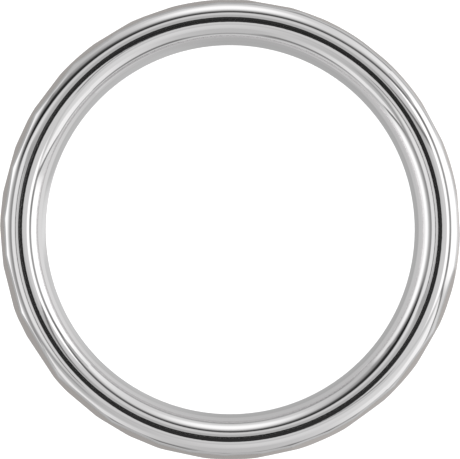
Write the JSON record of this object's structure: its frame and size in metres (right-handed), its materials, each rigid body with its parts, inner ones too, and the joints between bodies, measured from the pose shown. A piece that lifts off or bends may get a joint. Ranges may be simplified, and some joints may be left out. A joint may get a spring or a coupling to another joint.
{
  "type": "wedding band",
  "caption": "Comfort-fit wedding band with polished rounded edges, a narrow flat land on each side and a hammered centre.",
  "frame": {"origin": "centre of the finger bore, at the middle of the band's width", "axes": "+Z along the finger's axis, out of the front edge; the band lies flat on its back edge"},
  "size_m": [0.0246, 0.0246, 0.006],
  "materials": {
    "polished_sleeve": "mirror polished white gold",
    "polished_edge": "mirror polished white gold",
    "hammered_metal": "hammered and buffed white gold"
  },
  "bodies": {
    "root": {"comfort_fit_sleeve": "polished_sleeve", "front_edge_rim": "polished_edge", "back_edge_rim": "polished_edge", "hammered_centre_band": "hammered_metal"}
  },
  "joints": []
}
